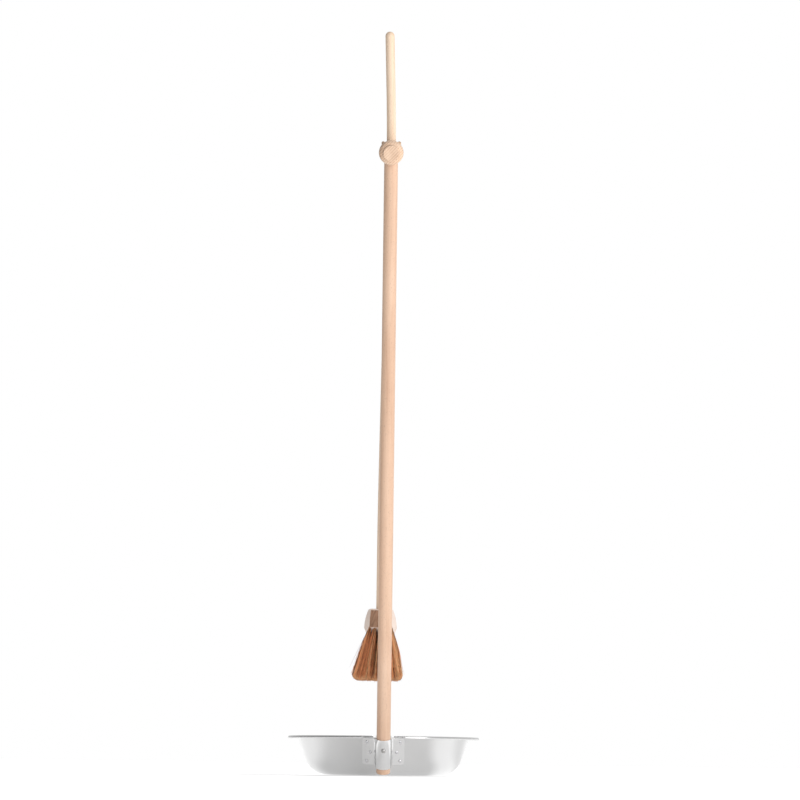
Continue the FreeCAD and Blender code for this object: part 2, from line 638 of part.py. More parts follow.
def tuft_hole(row_x, index):
    root, tip = tuft_line(row_x, index)
    inward = (root - tip).normalize()
    return Part.makeCylinder(TUFT_HOLE_RADIUS, TUFT_HOLE_DEPTH + TUFT_HOLE_LEAD,
                             root - inward * TUFT_HOLE_LEAD, inward)


def brush_block():
    block = block_blank()
    holes = [tuft_hole(row_x, index) for row_x in ROW_ROOTS for index in range(TUFTS_PER_ROW)]
    block = block.cut(Part.makeCompound(holes))
    stick_bore = bowed_rod(BRUSH_STICK_RADIUS + GLUE_GAP)[0]
    tilted = to_head(block).cut(from_stick_frame(stick_bore))
    return tilted.cut(block_screw_solid(0.0))


def block_screw_solid(shrink):
    """Countersunk screw from the block's near end, up into the foot of the stick."""
    start = Vector(HEAD_X, BLOCK_NEAR_Y, BLOCK_BOTTOM + 0.42 * BLOCK_HEIGHT)
    radius = BLOCK_SCREW_RADIUS - shrink
    shank = Part.makeCylinder(radius, BLOCK_SCREW_LENGTH, start, Y_AXIS)
    head = Part.makeCone(BLOCK_SCREW_HEAD_RADIUS - shrink, radius, 2.2, start, Y_AXIS)
    return to_head(fused([shank, head]))


def tuft_row(row_x):
    """One row of bristle bundles, each a slim cone that widens to its tip."""
    tufts = []
    for index in range(TUFTS_PER_ROW):
        root, tip = tuft_line(row_x, index)
        inward = (root - tip).normalize()
        heel = root + inward * (TUFT_HOLE_DEPTH - 1.2)
        length = (tip - heel).Length
        tufts.append(Part.makeCone(TUFT_ROOT_RADIUS, TUFT_TIP_RADIUS, length, heel, inward * -1))
    return to_head(Part.makeCompound(tufts))


def tuft_staples():
    """Wire staple across the bottom of every tuft hole."""
    staples = []
    for row_x in ROW_ROOTS:
        for index in range(TUFTS_PER_ROW):
            root, tip = tuft_line(row_x, index)
            inward = (root - tip).normalize()
            across = Y_AXIS.cross(inward).normalize()
            centre = root + inward * (TUFT_HOLE_DEPTH - 0.6)
            staples.append(Part.makeCylinder(STAPLE_RADIUS, STAPLE_LENGTH,
                                             centre - across * (STAPLE_LENGTH / 2), across))
    return to_head(Part.makeCompound(staples))


def main():
    os.makedirs("parts", exist_ok=True)
    save(pan_shell(), "pan_shell")
    save(socket_bracket(), "socket_bracket")
    save(bracket_rivets(), "bracket_rivets")
    save(socket_screw(), "socket_screw")
    save(pan_stick(), "pan_stick")
    save(knob(), "knob")
    save(from_stick_frame(knob_pin_rod(0.05)), "knob_pin")
    save(spindle(), "spindle")
    save(thrust_washers(), "thrust_washers")
    save(holder_clip(), "holder_clip")
    save(brush_stick().cut(block_screw_solid(0.0)), "brush_stick")
    save(from_stick_frame(hanging_pin_rod(0.02)), "hanging_pin")
    save(brush_block(), "brush_block")
    save(block_screw_solid(0.05), "block_screw")
    for number, row_x in enumerate(ROW_ROOTS, 1):
        save(tuft_row(row_x), "tufts_row_" + str(number))
    save(tuft_staples(), "tuft_staples")


main()
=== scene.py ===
"""Dust pan and brush set: looks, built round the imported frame. Metres, +Z up, +Y out of the pan's mouth."""
import json
import math
import random

import bpy
import numpy as np
from mathutils import Matrix, Vector


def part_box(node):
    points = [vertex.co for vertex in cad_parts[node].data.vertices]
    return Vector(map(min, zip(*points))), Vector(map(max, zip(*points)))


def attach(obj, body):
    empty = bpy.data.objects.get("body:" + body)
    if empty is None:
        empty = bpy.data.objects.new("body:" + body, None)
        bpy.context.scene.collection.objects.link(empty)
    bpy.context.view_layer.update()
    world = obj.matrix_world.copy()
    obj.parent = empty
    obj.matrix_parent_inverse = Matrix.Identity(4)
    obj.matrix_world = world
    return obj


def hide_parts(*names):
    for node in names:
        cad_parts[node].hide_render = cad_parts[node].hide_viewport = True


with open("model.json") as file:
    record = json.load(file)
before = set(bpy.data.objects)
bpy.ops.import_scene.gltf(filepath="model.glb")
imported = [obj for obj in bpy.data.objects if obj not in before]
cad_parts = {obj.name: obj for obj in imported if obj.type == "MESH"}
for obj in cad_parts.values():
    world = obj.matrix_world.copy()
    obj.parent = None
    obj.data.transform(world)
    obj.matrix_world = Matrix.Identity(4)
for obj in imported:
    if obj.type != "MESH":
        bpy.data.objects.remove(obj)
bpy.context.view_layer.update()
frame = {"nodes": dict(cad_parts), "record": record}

MM = 0.001
SEED = 581

# ------------------------------------------------------------------ places taken from the frame

swivel = next(joint for joint in frame["record"]["behaviour"]["joints"]
              if joint["name"] == "holder_swivel")
AWAY = Vector(swivel["axis"]).normalized()
SWIVEL_AT = Vector(swivel["pos_m"])
LEAN = math.atan2(AWAY.z, AWAY.y)
ALONG = Vector((0, -math.sin(LEAN), math.cos(LEAN)))
STICK_FLOOR = SWIVEL_AT - ALONG * (SWIVEL_AT.z / ALONG.z)
STICK_MATRIX = Matrix.Translation(STICK_FLOOR) @ Matrix.Rotation(LEAN, 4, "X")
SWIVEL_S = (SWIVEL_AT - STICK_FLOOR).length

PAN_HIGH = Vector(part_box("pan_shell")[1])

SHEET = 1.0 * MM
BASE_RADIUS = 96.7 * MM
CORNER_RADIUS = 38.0 * MM
WALL_TOP = 62.0 * MM
RIM_BEND = 3.0 * MM
RIM_RADIUS = PAN_HIGH.x
LIP_RADIUS = 2.5 * MM
LIP_DEPTH = 4.6 * MM
MOUTH_Y = PAN_HIGH.y
NOTCH_HALF_WIDTH = 35.5 * MM
NOTCH_BOTTOM = 50.0 * MM
NOTCH_STUB = 4.5 * MM
TUBE_NOTCH_HALF_WIDTH = 17.2 * MM
WALL_FOOT_RADIUS = BASE_RADIUS + CORNER_RADIUS * math.cos(LEAN)
WALL_FOOT_HEIGHT = CORNER_RADIUS * (1 - math.sin(LEAN))
WALL_TOP_RADIUS = WALL_FOOT_RADIUS + (WALL_TOP - WALL_FOOT_HEIGHT) * math.tan(LEAN)

STICK_RADIUS_LOW = 11.5 * MM
STICK_RADIUS_TOP = 10.75 * MM
STICK_FOOT = 5.0 * MM
STICK_TOP = 1044.0 * MM
STICK_SPACING = 48.0 * MM
BRUSH_STICK_RADIUS = 7.2 * MM
BRUSH_STICK_ROUTE = ((-7.7, 246.0), (-7.4, 430.0), (0.75, 1050.0), (-4.2, 1206.5))
BOW_TANGENT = 75.0

HEAD_X = -7.5 * MM
HEAD_TILT = math.radians(0.5)
BLOCK_NEAR_Y = -200.0 * MM
BLOCK_LENGTH = 150.0 * MM
BLOCK_BOTTOM = 234.0 * MM
BLOCK_HEIGHT = 37.0 * MM
BLOCK_HALF_WIDTH = 27.25 * MM
BLOCK_KNEE = 9.0 * MM
BLOCK_FOOT_WIDTH = 0.862
BLOCK_PLAN_TAPER = 0.345
BLOCK_TOP_TAPER = 0.248
BLOCK_END_CHAMFER = 3.2 * MM
BLOCK_END_RISE = 6.5 * MM
BLOCK_END_RUN = 14.0 * MM
HEAD_PIVOT = Vector((HEAD_X, 0, BLOCK_BOTTOM + BLOCK_HEIGHT / 2))
HEAD_MATRIX = (Matrix.Translation(HEAD_PIVOT) @ Matrix.Rotation(HEAD_TILT, 4, "Y")
               @ Matrix.Translation(-HEAD_PIVOT))

ROW_ROOTS = (-18.0, -9.0, 0.0, 9.0, 18.0)
ROW_TIP_FACTOR = 2.0
ROW_END_PULL = 0.12
TUFTS_PER_ROW = 13
TUFT_FIRST_Y = 10.0 * MM
TUFT_LEAN_X = -3.6 * MM
TUFT_LEAN_Y = 14.0 * MM
TUFT_TIP_HEIGHT = 158.5 * MM
TUFT_OUTER_LIFT = 6.0 * MM
TUFT_HOLE_RADIUS = 2.9 * MM
FAN_FLAT_HALF_WIDTH = 30.0 * MM
FAN_CORNER_WIDTH = 11.0 * MM
FAN_CORNER_LIFT = 4.5 * MM


# ------------------------------------------------------------------ shader maths

class Sock:
    """An output socket that adds its Math nodes when it is used in an expression."""

    def __init__(self, shader, socket):
        self.shader = shader
        self.socket = socket

    def _math(self, operation, *values):
        return self.shader.node("ShaderNodeMath", {"operation": operation}, dict(enumerate(values)))[0]

    def __add__(self, other):
        return self._math("ADD", self, other)

    def __sub__(self, other):
        return self._math("SUBTRACT", self, other)

    def __rsub__(self, other):
        return self._math("SUBTRACT", other, self)

    def __mul__(self, other):
        return self._math("MULTIPLY", self, other)

    def __pow__(self, other):
        return self._math("POWER", self, other)

    def heading(self, other):
        """Angle of the point (other, self), in turns from -0.5 to 0.5."""
        return self._math("ARCTAN2", self, other) * (0.5 / math.pi)

    def sine(self):
        return self._math("SINE", self)

    def fade(self, low, high):
        """0 below low, 1 above high, smooth between."""
        return self.shader.node("ShaderNodeMapRange", {"interpolation_type": "SMOOTHSTEP"},
                                {0: self, 1: low, 2: high, 3: 0.0, 4: 1.0})[0]


class Nodes:
    """A node tree, and a method for every kind of node it takes."""

    def __init__(self, owner):
        owner.use_nodes = True
        self.tree = owner.node_tree

    def node(self, kind, settings=None, inputs=None):
        """Adds a node: settings first, then the values or links of its inputs. Gives its outputs."""
        node = self.tree.nodes.new(kind)
        for key, value in (settings or {}).items():
            if key == "stops":
                self._set_stops(node.color_ramp, value)
            else:
                setattr(node, key, value)
        for key, value in (inputs or {}).items():
            self._feed(node.inputs[key], value)
        return {key: Sock(self, output) for index, output in enumerate(node.outputs)
                for key in (index, output.name)}

    def _feed(self, socket, value):
        if isinstance(value, Sock):
            self.tree.links.new(value.socket, socket)
        else:
            socket.default_value = value

    def _set_stops(self, ramp, stops):
        while len(ramp.elements) < len(stops):
            ramp.elements.new(0.5)
        for element, (place, colour) in zip(ramp.elements, stops):
            element.position = place
            element.color = colour

    def split(self, vector):
        return self.node("ShaderNodeSeparateXYZ", {}, {0: vector})

    def stretch(self, vector, *scale):
        return self.node("ShaderNodeVectorMath", {"operation": "MULTIPLY"}, {0: vector, 1: scale})[0]

    def noise(self, vector, scale, detail=3.0, roughness=0.5, distortion=0.0):
        return self.node("ShaderNodeTexNoise", {}, {"Vector": vector, "Scale": scale, "Detail": detail,
                                                    "Roughness": roughness,
                                                    "Distortion": distortion})[0]

    def ramp(self, factor, *stops):
        return self.node("ShaderNodeValToRGB", {"stops": stops}, {"Fac": factor})[0]

    def mix(self, factor, first, second):
        """Blends two colours."""
        return self.node("ShaderNodeMix", {"data_type": "RGBA"}, {0: factor, 6: first, 7: second})[2]


class Shader(Nodes):
    """One Principled material."""

    def __init__(self, name, **constants):
        self.material = bpy.data.materials.new(name)
        super().__init__(self.material)
        self.bsdf = self.tree.nodes["Principled BSDF"]
        self.set(**constants)

    def set(self, **values):
        for socket, value in values.items():
            self._feed(self.bsdf.inputs[socket.replace("_", " ")], value)

    def place(self, turn=(0, 0, 0)):
        """Object coordinates, turned."""
        coords = self.node("ShaderNodeTexCoord")["Object"]
        return self.node("ShaderNodeMapping", {"vector_type": "POINT"},
                         {"Vector": coords, "Rotation": turn})[0]

    def bump(self, height, distance, strength=1.0):
        normal = self.node("ShaderNodeBump", {}, {"Height": height, "Distance": distance,
                                                  "Strength": strength})[0]
        self.set(Normal=normal)


def rgb(red, green, blue):
    return (red, green, blue, 1.0)


def beech(name, pale, mid, dark, turn, roughness=0.42, fleck=0.5, end_grain_and_shade=None):
    """Beech with long grain along the turned Z axis, short dark flecks, and end faces painted much darker:
    partly darker end grain, partly painted shade.
    """
    wood = Shader(name, Specular_IOR_Level=0.38)
    grain_space = wood.place(turn=turn)
    long_space = wood.stretch(grain_space, 1.0, 1.0, 0.035)
    figure = wood.noise(long_space, 95.0, 4.0, 0.55, 0.4)
    fine = wood.noise(long_space, 620.0, 3.0, 0.6)
    patch = wood.noise(grain_space, 9.0, 2.0)
    specks = wood.noise(wood.stretch(grain_space, 1.0, 1.0, 0.22), 1500.0, 1.5, 0.4).fade(0.63, 0.72) * fleck
    tone = figure * 0.75 + fine * 0.25 + (patch - 0.5) * 0.35
    colour = wood.ramp(tone, (0.28, dark), (0.5, mid), (0.74, pale))
    colour = wood.mix(specks, colour, tuple(0.52 * part for part in dark[:3]) + (1.0,))
    # The end faces are painted much darker than the sides, with slanted growth lines: partly the darker end
    # grain, partly painted shade.
    if end_grain_and_shade:
        y = wood.split(wood.place())[1]
        past_near = y.fade(end_grain_and_shade[0] + 0.3 * MM, end_grain_and_shade[0] + 0.9 * MM)
        past_far = y.fade(end_grain_and_shade[1] - 0.9 * MM, end_grain_and_shade[1] - 0.3 * MM)
        cut = 1.0 - past_near * (1.0 - past_far)
        slant = wood.stretch(wood.place(turn=(0, math.radians(-18), 0)), 1.0, 1.0, 0.12)
        lines = wood.noise(slant, 420.0, 3.0, 0.6)
        colour = wood.mix(cut, colour, wood.ramp(lines, (0.3, rgb(0.21, 0.105, 0.058)),
                                                 (0.7, rgb(0.50, 0.30, 0.195))))
    wood.set(Base_Color=colour, Roughness=fine * 0.16 + (roughness - 0.08))
    wood.bump(fine * 0.6 + figure * 0.4 - specks * 0.5, 0.00012, 0.6)
    return wood.material


def turned_beech(name, pale, mid, dark, turn):
    """Turned wood cut across its grain: growth lines across the turned X axis, with fine pores."""
    wood = Shader(name, Specular_IOR_Level=0.4)
    space = wood.place(turn=turn)
    slab = wood.stretch(space, 1.0, 0.05, 0.12)
    lines_at = wood.split(space)[0] + wood.noise(space, 60.0, 2.0) * 0.002
    rings = (lines_at * 1850.0).sine().fade(-0.2, 0.9)
    fine = wood.noise(slab, 1500.0, 3.0, 0.6)
    broad = wood.noise(space, 55.0, 2.0)
    tone = 0.09 - rings * 0.18 + fine * 0.5 + broad * 0.5
    colour = wood.ramp(tone, (0.25, dark), (0.5, mid), (0.75, pale))
    pores = wood.noise(space, 2600.0, 1.0).fade(0.66, 0.76) * 0.3
    colour = wood.mix(pores, colour, tuple(0.5 * part for part in dark[:3]) + (1.0,))
    wood.set(Base_Color=colour, Roughness=fine * 0.15 + 0.36)
    wood.bump(fine - pores, 0.0001, 0.5)
    return wood.material


def satin_aluminium(name, tone, roughness, spun=True):
    """Satin sheet: very fine spun lines round the axis, faint handling marks and a soft bloom."""
    metal = Shader(name, Metallic=1.0)
    space = metal.place()
    parts = metal.split(space)
    if spun:
        radius = (parts[0] * parts[0] + parts[1] * parts[1]) ** 0.5
        path = radius + parts[2] * 0.9
        line_space = metal.node("ShaderNodeCombineXYZ", {}, {0: path, 1: 0.0, 2: 0.0})[0]
        lines = metal.noise(line_space, 2200.0, 2.0, 0.7)
    else:
        lines = metal.noise(metal.stretch(space, 1.0, 1.0, 0.05), 1400.0, 2.0, 0.7)
    bloom = metal.noise(space, 14.0, 3.0, 0.6)
    smudge = metal.noise(space, 60.0, 4.0, 0.65, 0.6)
    scuffs = metal.noise(metal.stretch(space, 1.0, 1.0, 6.0), 130.0, 4.0, 0.75).fade(0.66, 0.78)
    light = tuple(min(1.0, part * 1.04) for part in tone[:3]) + (1.0,)
    dull = tuple(part * 0.93 for part in tone[:3]) + (1.0,)
    metal.set(Base_Color=metal.mix(bloom, dull, light),
              Roughness=bloom * 0.07 + smudge * 0.07 + lines * 0.05 + scuffs * 0.1 + (roughness - 0.1))
    metal.bump(lines * 0.7 + smudge * 0.3, 0.00003, 0.5)
    return metal.material


def plated_steel(name, tone):
    """Zinc-plated steel with a fine mottled crystal."""
    metal = Shader(name, Metallic=1.0)
    space = metal.place()
    crystal = metal.noise(space, 900.0, 3.0, 0.6)
    shade = tuple(part * 0.82 for part in tone[:3]) + (1.0,)
    metal.set(Base_Color=metal.mix(crystal, shade, tone), Roughness=crystal * 0.2 + 0.24)
    metal.bump(crystal, 0.00002, 0.4)
    return metal.material


def bristle_hair(name):
    """Natural brown hair: every strand has its own tone, it pales towards its tip, and it is painted darker
    near its root as shade under the block.
    """
    hair = Shader(name, Roughness=0.5, Specular_IOR_Level=0.4)
    own = hair.node("ShaderNodeAttribute", {"attribute_name": "strand_tone"})["Fac"]
    place = hair.node("ShaderNodeAttribute", {"attribute_name": "strand_place"})["Fac"]
    colour = hair.ramp(own, (0.0, rgb(0.10, 0.030, 0.012)), (0.28, rgb(0.48, 0.175, 0.075)),
                       (0.6, rgb(1.0, 0.40, 0.17)), (1.0, rgb(1.0, 0.68, 0.36)))
    colour = hair.mix(place.fade(0.92, 1.0) * 0.35, colour, rgb(0.85, 0.44, 0.21))
    # Painted shade: each strand darkens over its first third, towards its root under the block.
    colour = hair.mix((1.0 - place.fade(0.0, 0.3)) * 0.5, colour, rgb(0.07, 0.026, 0.012))
    hair.set(Base_Color=colour, Roughness=own * 0.2 + 0.36)
    return hair.material


UNTURN = (-LEAN, 0, 0)
ALONG_Y = (math.radians(90), 0, 0)
SLANT = (-LEAN, math.radians(-45), 0)

BEECH = beech("oiled_beech", rgb(0.82, 0.59, 0.44), rgb(0.74, 0.50, 0.355), rgb(0.62, 0.385, 0.26), UNTURN)
BEECH_THIN = beech("pale_beech", rgb(0.91, 0.735, 0.58), rgb(0.87, 0.66, 0.485), rgb(0.77, 0.53, 0.36),
                   UNTURN, 0.4, 0.35)
# The block's two end faces get dark end grain with painted shade on top.
BEECH_BLOCK = beech("block_beech", rgb(0.90, 0.77, 0.69), rgb(0.85, 0.69, 0.59), rgb(0.74, 0.56, 0.46),
                    ALONG_Y, 0.5, 0.4, (BLOCK_NEAR_Y, BLOCK_NEAR_Y + BLOCK_LENGTH))
KNOB_WOOD = turned_beech("knob_beech", rgb(0.88, 0.67, 0.50), rgb(0.75, 0.52, 0.37), rgb(0.52, 0.32, 0.20),
                         SLANT)
CLIP_WOOD = turned_beech("clip_beech", rgb(0.76, 0.54, 0.36), rgb(0.62, 0.40, 0.24), rgb(0.40, 0.22, 0.11),
                         UNTURN)
ALUMINIUM = satin_aluminium("satin_aluminium", rgb(0.68, 0.68, 0.68), 0.25)
BRACKET_METAL = satin_aluminium("pressed_aluminium", rgb(0.76, 0.76, 0.76), 0.13, spun=False)
RIVET_METAL = plated_steel("rivet_metal", rgb(0.74, 0.74, 0.76))
SCREW_STEEL = plated_steel("zinc_steel", rgb(0.60, 0.59, 0.58))
HAIR = bristle_hair("brown_bristle")


# ------------------------------------------------------------------ modelling helpers

def drop_selection():
    if bpy.context.object and bpy.context.object.mode != "OBJECT":
        bpy.ops.object.mode_set(mode="OBJECT")
    bpy.ops.object.select_all(action="DESELECT")


def hold(piece):
    drop_selection()
    piece.select_set(True)
    bpy.context.view_layer.objects.active = piece


def settle(piece, matrix=None):
    """Puts the piece in place and bakes that place into its mesh."""
    if matrix is not None:
        piece.matrix_world = matrix @ piece.matrix_world
    hold(piece)
    bpy.ops.object.transform_apply(location=True, rotation=True, scale=True)


def smooth(piece, degrees):
    hold(piece)
    bpy.ops.object.shade_smooth_by_angle(angle=math.radians(degrees))


def apply(piece, kind, **settings):
    """Adds one modifier and applies it."""
    modifier = piece.modifiers.new(kind.lower(), kind)
    for key, value in settings.items():
        setattr(modifier, key, value)
    hold(piece)
    bpy.ops.object.modifier_apply(modifier=modifier.name)


def edit_mode():
    bpy.ops.object.mode_set(mode="EDIT")
    bpy.ops.mesh.select_mode(type="VERT")


def object_mode():
    bpy.ops.object.mode_set(mode="OBJECT")


def pick_faces(piece, test):
    """Selects the faces that pass a test on the place of their middle."""
    bpy.ops.mesh.select_all(action="DESELECT")
    object_mode()
    for face in piece.data.polygons:
        face.select = test(face.center)
    bpy.ops.object.mode_set(mode="EDIT")


def finish(piece, name, material, body, stands_for):
    piece.name = name
    piece.data.name = name
    piece.data.materials.clear()
    piece.data.materials.append(material)
    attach(piece, body)
    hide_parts(*stands_for)
    return piece


def arc_points(centre, radius, start, end, count):
    """Points on a circle in the (radius, height) plane, angles in degrees from the outward axis."""
    for step in range(count + 1):
        angle = math.radians(start + (end - start) * step / count)
        yield (centre[0] + radius * math.cos(angle), centre[1] + radius * math.sin(angle))


def turn_outline(outline, steps):
    """Draws an outline of (radius, height) points edge by edge, and spins it once round Z."""
    drop_selection()
    bpy.ops.mesh.primitive_plane_add(size=MM, location=(0, 0, 0))
    piece = bpy.context.object
    edit_mode()
    bpy.ops.mesh.select_all(action="SELECT")
    bpy.ops.mesh.merge(type="CENTER")
    here = Vector((outline[0][0], 0, outline[0][1]))
    bpy.ops.transform.translate(value=here)
    for radius, height in outline[1:]:
        there = Vector((radius, 0, height))
        bpy.ops.mesh.extrude_region_move(TRANSFORM_OT_translate={"value": there - here})
        here = there
    bpy.ops.mesh.select_all(action="SELECT")
    bpy.ops.mesh.spin(steps=steps, angle=2 * math.pi, center=(0, 0, 0), axis=(0, 0, 1))
    bpy.ops.mesh.select_all(action="SELECT")
    bpy.ops.mesh.remove_doubles(threshold=0.02 * MM)
    bpy.ops.mesh.normals_make_consistent(inside=False)
    object_mode()
    return piece


# ------------------------------------------------------------------ pan

def make_pan():
    """Spun dish: outline spun, mouth cut off, rim notched over the bracket, then given its thickness."""
    slope = math.degrees(LEAN)
    top = WALL_TOP - RIM_BEND * math.sin(LEAN) + RIM_BEND
    outline = [(0.0, 0.0), (0.35 * BASE_RADIUS, 0.0), (0.7 * BASE_RADIUS, 0.0)]
    outline += list(arc_points((BASE_RADIUS, CORNER_RADIUS), CORNER_RADIUS, -90, -slope, 14))
    foot = Vector(outline[-1])
    head = Vector((WALL_TOP_RADIUS, WALL_TOP))
    outline += [tuple(foot.lerp(head, share)) for share in (0.25, 0.5, 0.75)]
    bend_centre = (WALL_TOP_RADIUS + RIM_BEND * math.cos(LEAN), WALL_TOP - RIM_BEND * math.sin(LEAN))
    outline += list(arc_points(bend_centre, RIM_BEND, 180 - slope, 90, 6))
    lip_centre = (RIM_RADIUS - LIP_RADIUS, top + SHEET - LIP_RADIUS)
    inner_lip = LIP_RADIUS - SHEET
    outline += [(WALL_TOP_RADIUS + NOTCH_STUB, top), (lip_centre[0] - 5 * MM, top)]
    outline += list(arc_points(lip_centre, inner_lip, 90, 0, 6))
    outline += [(RIM_RADIUS - SHEET, top + SHEET - LIP_DEPTH)]
    pan = turn_outline(outline, 224)
    hold(pan)
    edit_mode()
    bpy.ops.mesh.select_all(action="SELECT")
    bpy.ops.mesh.bisect(plane_co=(0, MOUTH_Y - 0.25 * MM, 0), plane_no=(0, 1, 0), clear_outer=True)
    for half_width, kept in ((NOTCH_HALF_WIDTH, NOTCH_STUB - 0.2 * MM), (TUBE_NOTCH_HALF_WIDTH, -0.2 * MM)):
        for side in (-1, 1):
            bpy.ops.mesh.select_all(action="SELECT")
            bpy.ops.mesh.bisect(plane_co=(side * half_width, 0, 0), plane_no=(1, 0, 0))
        bpy.ops.mesh.select_mode(type="FACE")
        pick_faces(pan, lambda at: abs(at.x) < half_width and at.y < 0 and at.z > NOTCH_BOTTOM
                   and math.hypot(at.x, at.y) > WALL_TOP_RADIUS + kept)
        bpy.ops.mesh.delete(type="FACE")
    bpy.ops.mesh.select_all(action="SELECT")
    bpy.ops.mesh.normals_make_consistent(inside=False)
    object_mode()
    if pan.data.polygons[0].normal.z > 0:
        pan.data.flip_normals()
    apply(pan, "SOLIDIFY", thickness=SHEET, offset=-1.0, use_even_offset=True)
    apply(pan, "BEVEL", width=0.25 * MM, segments=2, limit_method="ANGLE", angle_limit=math.radians(50))
    smooth(pan, 40)
    return finish(pan, "pan_sheet", ALUMINIUM, "dustpan", ["pan_shell"])


# ------------------------------------------------------------------ copies of machined CAD pieces

def machined(node, name, material, body, edge=0.0, degrees=32.0):
    """A merged copy of a CAD node with its edges broken, smooth over its round faces."""
    source = frame["nodes"][node]
    piece = source.copy()
    piece.data = source.data.copy()
    bpy.context.scene.collection.objects.link(piece)
    piece.parent = None
    piece.matrix_world = Matrix.Identity(4)
    hold(piece)
    edit_mode()
    bpy.ops.mesh.select_all(action="SELECT")
    bpy.ops.mesh.remove_doubles(threshold=0.002 * MM)
    bpy.ops.mesh.customdata_custom_splitnormals_clear()
    object_mode()
    if edge:
        apply(piece, "BEVEL", width=edge, segments=2, limit_method="ANGLE",
              angle_limit=math.radians(40), use_clamp_overlap=True)
    smooth(piece, degrees)
    return finish(piece, name, material, body, [node])


# ------------------------------------------------------------------ sticks

def rounded_end(radius, height, edge, up, count=6):
    """Outline of a stick's end: from the axis to the side, or back."""
    side = 1 if up else -1
    centre = (radius - edge, height - side * edge)
    points = list(arc_points(centre, edge, 0, side * 90, count))
    return points + [(0.0, height)] if up else [(0.0, height)] + points[::-1]


def make_pan_stick():
    """Long stick: parallel in its socket, then slightly tapered, in many short rings."""
    outline = rounded_end(STICK_RADIUS_LOW, STICK_FOOT, 1.5 * MM, False)
    low = 75.0 * MM
    high = STICK_TOP - 3.0 * MM
    rings = 24
    for ring in range(rings):
        share = ring / rings
        radius = STICK_RADIUS_LOW + (STICK_RADIUS_TOP - STICK_RADIUS_LOW) * share
        outline.append((radius, low + (high - low) * share))
    outline += rounded_end(STICK_RADIUS_TOP, STICK_TOP, 3.0 * MM, True)
    stick = turn_outline(outline, 64)
    settle(stick, STICK_MATRIX)
    smooth(stick, 40)
    return finish(stick, "long_pan_stick", BEECH, "dustpan", ["pan_stick"])


def bow_at(height):
    """Sideways place of the bowed brush stick at a height along it."""
    route = BRUSH_STICK_ROUTE
    s = height / MM
    x = route[-1][0]
    for (x0, s0), (x1, s1) in zip(route, route[1:]):
        if s <= s1:
            x = x0 + (x1 - x0) * (s - s0) / (s1 - s0)
            break
    for (x0, s0), (x1, s1), (x2, s2) in zip(route, route[1:], route[2:]):
        near = s - (s1 - BOW_TANGENT)
        if 0 <= near <= 2 * BOW_TANGENT:
            before = (x1 - x0) / (s1 - s0)
            after = (x2 - x1) / (s2 - s1)
            x = x1 - before * BOW_TANGENT + before * near + (after - before) * near ** 2 / (4 * BOW_TANGENT)
    return x * MM


def make_brush_stick():
    """Thin stick with a round top, turned straight and then bowed ring by ring."""
    foot = BRUSH_STICK_ROUTE[0][1] * MM
    top = BRUSH_STICK_ROUTE[-1][1] * MM
    rings = 60
    outline = [(0.0, foot), (BRUSH_STICK_RADIUS, foot)]
    outline += [(BRUSH_STICK_RADIUS, foot + (top - foot) * ring / rings) for ring in range(1, rings)]
    outline += list(arc_points((0.0, top), BRUSH_STICK_RADIUS, 0, 90, 10))
    stick = turn_outline(outline, 48)
    for vertex in stick.data.vertices:
        vertex.co.x += bow_at(min(vertex.co.z, top))
    settle(stick, STICK_MATRIX @ Matrix.Translation((0, STICK_SPACING, 0)))
    smooth(stick, 40)
    return finish(stick, "long_brush_stick", BEECH_THIN, "brush", ["brush_stick"])


# ------------------------------------------------------------------ knob

def make_knob():
    """Turned knob: a small foot by the washer, a round belly, and a raised flat end-grain face."""
    back = STICK_RADIUS_TOP + 0.7 * MM
    face = back + 26.0 * MM
    shoulder = face - 5.0 * MM
    outline = [(0.0, back), (12.3 * MM, back)]
    outline += [(15.2 * MM, back + 1.4 * MM), (17.4 * MM, back + 4.0 * MM), (18.9 * MM, back + 7.6 * MM),
                (19.4 * MM, back + 11.6 * MM), (19.1 * MM, back + 15.2 * MM),
                (18.0 * MM, back + 18.0 * MM), (16.2 * MM, shoulder - 0.7 * MM),
                (14.6 * MM, shoulder - 0.1 * MM), (13.7 * MM, shoulder), (13.3 * MM, shoulder + 0.5 * MM),
                (12.3 * MM, face - 0.6 * MM), (12.0 * MM, face - 0.1 * MM), (11.5 * MM, face),
                (7.0 * MM, face), (0.0, face)]
    knob = turn_outline(outline, 48)
    apply(knob, "SUBSURF", levels=2, render_levels=2)
    along_spindle = Matrix.Translation((0, 0, SWIVEL_S)) @ Matrix.Rotation(math.radians(90), 4, "X")
    settle(knob, STICK_MATRIX @ along_spindle)
    smooth(knob, 30)
    return finish(knob, "turned_knob", KNOB_WOOD, "holder", ["knob"])


# ------------------------------------------------------------------ brush

